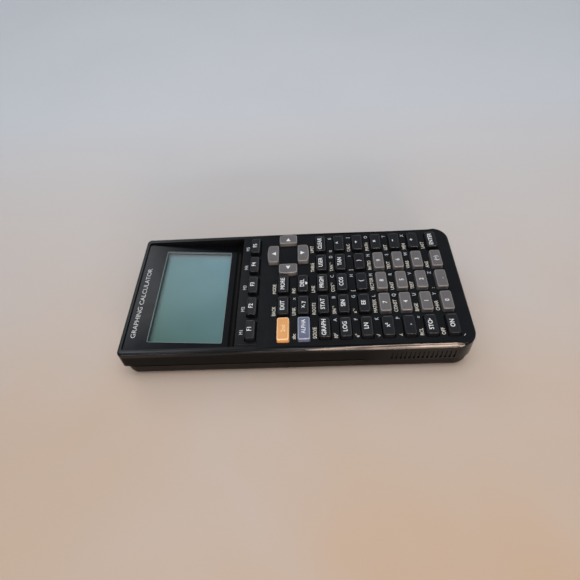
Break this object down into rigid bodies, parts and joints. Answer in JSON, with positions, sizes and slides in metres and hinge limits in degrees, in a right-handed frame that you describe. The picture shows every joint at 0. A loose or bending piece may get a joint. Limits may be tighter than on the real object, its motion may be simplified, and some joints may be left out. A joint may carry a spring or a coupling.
{
  "type": "graphing calculator",
  "caption": "Handheld graphing calculator with a dark case, a sloping recessed liquid crystal display, a row of menu keys, an arrow pad and a full keypad.",
  "frame": {"origin": "centre of the flat underside", "axes": "+X to the right of the keypad, +Y from the keys towards the display, +Z out of the face"},
  "size_m": [0.0794, 0.172, 0.0229],
  "materials": {
    "front_shell": "fine matte texture, dark slate",
    "rear_shell": "fine matte texture, brownish black",
    "window": "gloss, with a dark printed border",
    "lcd": "grey-green liquid crystal glass in a steel frame",
    "silicone": "grey silicone rubber",
    "board": "green solder mask",
    "cells": "printed cell jackets and plated contacts",
    "screws": "blackened steel",
    "jack": "black moulded socket",
    "dark_keys": "satin, near black",
    "menu_keys": "satin, dark slate",
    "grey_keys": "satin, mid grey",
    "orange_key": "satin, light orange",
    "blue_key": "satin, periwinkle blue"
  },
  "bodies": {
    "case": {"front_case": "front_shell", "rear_case": "rear_shell", "display_window": "window", "lcd_module": "lcd", "rubber_keypad": "silicone", "circuit_board": "board", "batteries_and_contacts": "cells", "case_screws": "screws", "link_jack": "jack"},
    "door": {"battery_door": "rear_shell"},
    "cap_on": {"key_on": "dark_keys"},
    "cap_0": {"key_0": "grey_keys"},
    "cap_decimal_point": {"key_decimal_point": "grey_keys"},
    "cap_negative": {"key_negative": "grey_keys"},
    "cap_enter": {"key_enter": "dark_keys"},
    "cap_store": {"key_store": "dark_keys"},
    "cap_1": {"key_1": "grey_keys"},
    "cap_2": {"key_2": "grey_keys"},
    "cap_3": {"key_3": "grey_keys"},
    "cap_plus": {"key_plus": "dark_keys"},
    "cap_comma": {"key_comma": "dark_keys"},
    "cap_4": {"key_4": "grey_keys"},
    "cap_5": {"key_5": "grey_keys"},
    "cap_6": {"key_6": "grey_keys"},
    "cap_minus": {"key_minus": "dark_keys"},
    "cap_square": {"key_square": "dark_keys"},
    "cap_7": {"key_7": "grey_keys"},
    "cap_8": {"key_8": "grey_keys"},
    "cap_9": {"key_9": "grey_keys"},
    "cap_multiply": {"key_multiply": "dark_keys"},
    "cap_ln": {"key_ln": "dark_keys"},
    "cap_ee": {"key_ee": "dark_keys"},
    "cap_open_bracket": {"key_open_bracket": "dark_keys"},
    "cap_close_bracket": {"key_close_bracket": "dark_keys"},
    "cap_divide": {"key_divide": "dark_keys"},
    "cap_log": {"key_log": "dark_keys"},
    "cap_sin": {"key_sin": "dark_keys"},
    "cap_cos": {"key_cos": "dark_keys"},
    "cap_tan": {"key_tan": "dark_keys"},
    "cap_power": {"key_power": "dark_keys"},
    "cap_graph": {"key_graph": "dark_keys"},
    "cap_stat": {"key_stat": "dark_keys"},
    "cap_program": {"key_program": "dark_keys"},
    "cap_custom": {"key_custom": "dark_keys"},
    "cap_clear": {"key_clear": "dark_keys"},
    "cap_alpha": {"key_alpha": "blue_key"},
    "cap_x_variable": {"key_x_variable": "dark_keys"},
    "cap_delete": {"key_delete": "dark_keys"},
    "cap_second": {"key_second": "orange_key"},
    "cap_exit": {"key_exit": "dark_keys"},
    "cap_more": {"key_more": "dark_keys"},
    "cap_f1": {"key_f1": "menu_keys"},
    "cap_f2": {"key_f2": "menu_keys"},
    "cap_f3": {"key_f3": "menu_keys"},
    "cap_f4": {"key_f4": "menu_keys"},
    "cap_f5": {"key_f5": "menu_keys"},
    "cap_up": {"key_up": "grey_keys"},
    "cap_down": {"key_down": "grey_keys"},
    "cap_left": {"key_left": "grey_keys"},
    "cap_right": {"key_right": "grey_keys"}
  },
  "joints": [
    {"name": "battery_door_swing", "type": "hinge", "parent": "case", "child": "door", "pos_m": [0, -0.067, 0], "axis": [-1, 0, 0], "range_deg": [0, 70]},
    {"name": "key_on_press", "type": "slide", "parent": "case", "child": "cap_on", "axis": [0, 0, -1], "range_m": [0, 0.001], "stiffness_N_per_m": 600, "springref_m": -0.0005, "deforming": ["rubber_keypad"]},
    {"name": "key_0_press", "type": "slide", "parent": "case", "child": "cap_0", "axis": [0, 0, -1], "range_m": [0, 0.001], "stiffness_N_per_m": 600, "springref_m": -0.0005, "deforming": ["rubber_keypad"]},
    {"name": "key_decimal_point_press", "type": "slide", "parent": "case", "child": "cap_decimal_point", "axis": [0, 0, -1], "range_m": [0, 0.001], "stiffness_N_per_m": 600, "springref_m": -0.0005, "deforming": ["rubber_keypad"]},
    {"name": "key_negative_press", "type": "slide", "parent": "case", "child": "cap_negative", "axis": [0, 0, -1], "range_m": [0, 0.001], "stiffness_N_per_m": 600, "springref_m": -0.0005, "deforming": ["rubber_keypad"]},
    {"name": "key_enter_press", "type": "slide", "parent": "case", "child": "cap_enter", "axis": [0, 0, -1], "range_m": [0, 0.001], "stiffness_N_per_m": 600, "springref_m": -0.0005, "deforming": ["rubber_keypad"]},
    {"name": "key_store_press", "type": "slide", "parent": "case", "child": "cap_store", "axis": [0, 0, -1], "range_m": [0, 0.001], "stiffness_N_per_m": 600, "springref_m": -0.0005, "deforming": ["rubber_keypad"]},
    {"name": "key_1_press", "type": "slide", "parent": "case", "child": "cap_1", "axis": [0, 0, -1], "range_m": [0, 0.001], "stiffness_N_per_m": 600, "springref_m": -0.0005, "deforming": ["rubber_keypad"]},
    {"name": "key_2_press", "type": "slide", "parent": "case", "child": "cap_2", "axis": [0, 0, -1], "range_m": [0, 0.001], "stiffness_N_per_m": 600, "springref_m": -0.0005, "deforming": ["rubber_keypad"]},
    {"name": "key_3_press", "type": "slide", "parent": "case", "child": "cap_3", "axis": [0, 0, -1], "range_m": [0, 0.001], "stiffness_N_per_m": 600, "springref_m": -0.0005, "deforming": ["rubber_keypad"]},
    {"name": "key_plus_press", "type": "slide", "parent": "case", "child": "cap_plus", "axis": [0, 0, -1], "range_m": [0, 0.001], "stiffness_N_per_m": 600, "springref_m": -0.0005, "deforming": ["rubber_keypad"]},
    {"name": "key_comma_press", "type": "slide", "parent": "case", "child": "cap_comma", "axis": [0, 0, -1], "range_m": [0, 0.001], "stiffness_N_per_m": 600, "springref_m": -0.0005, "deforming": ["rubber_keypad"]},
    {"name": "key_4_press", "type": "slide", "parent": "case", "child": "cap_4", "axis": [0, 0, -1], "range_m": [0, 0.001], "stiffness_N_per_m": 600, "springref_m": -0.0005, "deforming": ["rubber_keypad"]},
    {"name": "key_5_press", "type": "slide", "parent": "case", "child": "cap_5", "axis": [0, 0, -1], "range_m": [0, 0.001], "stiffness_N_per_m": 600, "springref_m": -0.0005, "deforming": ["rubber_keypad"]},
    {"name": "key_6_press", "type": "slide", "parent": "case", "child": "cap_6", "axis": [0, 0, -1], "range_m": [0, 0.001], "stiffness_N_per_m": 600, "springref_m": -0.0005, "deforming": ["rubber_keypad"]},
    {"name": "key_minus_press", "type": "slide", "parent": "case", "child": "cap_minus", "axis": [0, 0, -1], "range_m": [0, 0.001], "stiffness_N_per_m": 600, "springref_m": -0.0005, "deforming": ["rubber_keypad"]},
    {"name": "key_square_press", "type": "slide", "parent": "case", "child": "cap_square", "axis": [0, 0, -1], "range_m": [0, 0.001], "stiffness_N_per_m": 600, "springref_m": -0.0005, "deforming": ["rubber_keypad"]},
    {"name": "key_7_press", "type": "slide", "parent": "case", "child": "cap_7", "axis": [0, 0, -1], "range_m": [0, 0.001], "stiffness_N_per_m": 600, "springref_m": -0.0005, "deforming": ["rubber_keypad"]},
    {"name": "key_8_press", "type": "slide", "parent": "case", "child": "cap_8", "axis": [0, 0, -1], "range_m": [0, 0.001], "stiffness_N_per_m": 600, "springref_m": -0.0005, "deforming": ["rubber_keypad"]},
    {"name": "key_9_press", "type": "slide", "parent": "case", "child": "cap_9", "axis": [0, 0, -1], "range_m": [0, 0.001], "stiffness_N_per_m": 600, "springref_m": -0.0005, "deforming": ["rubber_keypad"]},
    {"name": "key_multiply_press", "type": "slide", "parent": "case", "child": "cap_multiply", "axis": [0, 0, -1], "range_m": [0, 0.001], "stiffness_N_per_m": 600, "springref_m": -0.0005, "deforming": ["rubber_keypad"]},
    {"name": "key_ln_press", "type": "slide", "parent": "case", "child": "cap_ln", "axis": [0, 0, -1], "range_m": [0, 0.001], "stiffness_N_per_m": 600, "springref_m": -0.0005, "deforming": ["rubber_keypad"]},
    {"name": "key_ee_press", "type": "slide", "parent": "case", "child": "cap_ee", "axis": [0, 0, -1], "range_m": [0, 0.001], "stiffness_N_per_m": 600, "springref_m": -0.0005, "deforming": ["rubber_keypad"]},
    {"name": "key_open_bracket_press", "type": "slide", "parent": "case", "child": "cap_open_bracket", "axis": [0, 0, -1], "range_m": [0, 0.001], "stiffness_N_per_m": 600, "springref_m": -0.0005, "deforming": ["rubber_keypad"]},
    {"name": "key_close_bracket_press", "type": "slide", "parent": "case", "child": "cap_close_bracket", "axis": [0, 0, -1], "range_m": [0, 0.001], "stiffness_N_per_m": 600, "springref_m": -0.0005, "deforming": ["rubber_keypad"]},
    {"name": "key_divide_press", "type": "slide", "parent": "case", "child": "cap_divide", "axis": [0, 0, -1], "range_m": [0, 0.001], "stiffness_N_per_m": 600, "springref_m": -0.0005, "deforming": ["rubber_keypad"]},
    {"name": "key_log_press", "type": "slide", "parent": "case", "child": "cap_log", "axis": [0, 0, -1], "range_m": [0, 0.001], "stiffness_N_per_m": 600, "springref_m": -0.0005, "deforming": ["rubber_keypad"]},
    {"name": "key_sin_press", "type": "slide", "parent": "case", "child": "cap_sin", "axis": [0, 0, -1], "range_m": [0, 0.001], "stiffness_N_per_m": 600, "springref_m": -0.0005, "deforming": ["rubber_keypad"]},
    {"name": "key_cos_press", "type": "slide", "parent": "case", "child": "cap_cos", "axis": [0, 0, -1], "range_m": [0, 0.001], "stiffness_N_per_m": 600, "springref_m": -0.0005, "deforming": ["rubber_keypad"]},
    {"name": "key_tan_press", "type": "slide", "parent": "case", "child": "cap_tan", "axis": [0, 0, -1], "range_m": [0, 0.001], "stiffness_N_per_m": 600, "springref_m": -0.0005, "deforming": ["rubber_keypad"]},
    {"name": "key_power_press", "type": "slide", "parent": "case", "child": "cap_power", "axis": [0, 0, -1], "range_m": [0, 0.001], "stiffness_N_per_m": 600, "springref_m": -0.0005, "deforming": ["rubber_keypad"]},
    {"name": "key_graph_press", "type": "slide", "parent": "case", "child": "cap_graph", "axis": [0, 0, -1], "range_m": [0, 0.001], "stiffness_N_per_m": 600, "springref_m": -0.0005, "deforming": ["rubber_keypad"]},
    {"name": "key_stat_press", "type": "slide", "parent": "case", "child": "cap_stat", "axis": [0, 0, -1], "range_m": [0, 0.001], "stiffness_N_per_m": 600, "springref_m": -0.0005, "deforming": ["rubber_keypad"]},
    {"name": "key_program_press", "type": "slide", "parent": "case", "child": "cap_program", "axis": [0, 0, -1], "range_m": [0, 0.001], "stiffness_N_per_m": 600, "springref_m": -0.0005, "deforming": ["rubber_keypad"]},
    {"name": "key_custom_press", "type": "slide", "parent": "case", "child": "cap_custom", "axis": [0, 0, -1], "range_m": [0, 0.001], "stiffness_N_per_m": 600, "springref_m": -0.0005, "deforming": ["rubber_keypad"]},
    {"name": "key_clear_press", "type": "slide", "parent": "case", "child": "cap_clear", "axis": [0, 0, -1], "range_m": [0, 0.001], "stiffness_N_per_m": 600, "springref_m": -0.0005, "deforming": ["rubber_keypad"]},
    {"name": "key_alpha_press", "type": "slide", "parent": "case", "child": "cap_alpha", "axis": [0, 0, -1], "range_m": [0, 0.001], "stiffness_N_per_m": 600, "springref_m": -0.0005, "deforming": ["rubber_keypad"]},
    {"name": "key_x_variable_press", "type": "slide", "parent": "case", "child": "cap_x_variable", "axis": [0, 0, -1], "range_m": [0, 0.001], "stiffness_N_per_m": 600, "springref_m": -0.0005, "deforming": ["rubber_keypad"]},
    {"name": "key_delete_press", "type": "slide", "parent": "case", "child": "cap_delete", "axis": [0, 0, -1], "range_m": [0, 0.001], "stiffness_N_per_m": 600, "springref_m": -0.0005, "deforming": ["rubber_keypad"]},
    {"name": "key_second_press", "type": "slide", "parent": "case", "child": "cap_second", "axis": [0, 0, -1], "range_m": [0, 0.001], "stiffness_N_per_m": 600, "springref_m": -0.0005, "deforming": ["rubber_keypad"]},
    {"name": "key_exit_press", "type": "slide", "parent": "case", "child": "cap_exit", "axis": [0, 0, -1], "range_m": [0, 0.001], "stiffness_N_per_m": 600, "springref_m": -0.0005, "deforming": ["rubber_keypad"]},
    {"name": "key_more_press", "type": "slide", "parent": "case", "child": "cap_more", "axis": [0, 0, -1], "range_m": [0, 0.001], "stiffness_N_per_m": 600, "springref_m": -0.0005, "deforming": ["rubber_keypad"]},
    {"name": "key_f1_press", "type": "slide", "parent": "case", "child": "cap_f1", "axis": [0, 0, -1], "range_m": [0, 0.001], "stiffness_N_per_m": 600, "springref_m": -0.0005, "deforming": ["rubber_keypad"]},
    {"name": "key_f2_press", "type": "slide", "parent": "case", "child": "cap_f2", "axis": [0, 0, -1], "range_m": [0, 0.001], "stiffness_N_per_m": 600, "springref_m": -0.0005, "deforming": ["rubber_keypad"]},
    {"name": "key_f3_press", "type": "slide", "parent": "case", "child": "cap_f3", "axis": [0, 0, -1], "range_m": [0, 0.001], "stiffness_N_per_m": 600, "springref_m": -0.0005, "deforming": ["rubber_keypad"]},
    {"name": "key_f4_press", "type": "slide", "parent": "case", "child": "cap_f4", "axis": [0, 0, -1], "range_m": [0, 0.001], "stiffness_N_per_m": 600, "springref_m": -0.0005, "deforming": ["rubber_keypad"]},
    {"name": "key_f5_press", "type": "slide", "parent": "case", "child": "cap_f5", "axis": [0, 0, -1], "range_m": [0, 0.001], "stiffness_N_per_m": 600, "springref_m": -0.0005, "deforming": ["rubber_keypad"]},
    {"name": "key_up_press", "type": "slide", "parent": "case", "child": "cap_up", "axis": [0, 0, -1], "range_m": [0, 0.001], "stiffness_N_per_m": 600, "springref_m": -0.0005, "deforming": ["rubber_keypad"]},
    {"name": "key_down_press", "type": "slide", "parent": "case", "child": "cap_down", "axis": [0, 0, -1], "range_m": [0, 0.001], "stiffness_N_per_m": 600, "springref_m": -0.0005, "deforming": ["rubber_keypad"]},
    {"name": "key_left_press", "type": "slide", "parent": "case", "child": "cap_left", "axis": [0, 0, -1], "range_m": [0, 0.001], "stiffness_N_per_m": 600, "springref_m": -0.0005, "deforming": ["rubber_keypad"]},
    {"name": "key_right_press", "type": "slide", "parent": "case", "child": "cap_right", "axis": [0, 0, -1], "range_m": [0, 0.001], "stiffness_N_per_m": 600, "springref_m": -0.0005, "deforming": ["rubber_keypad"]}
  ]
}
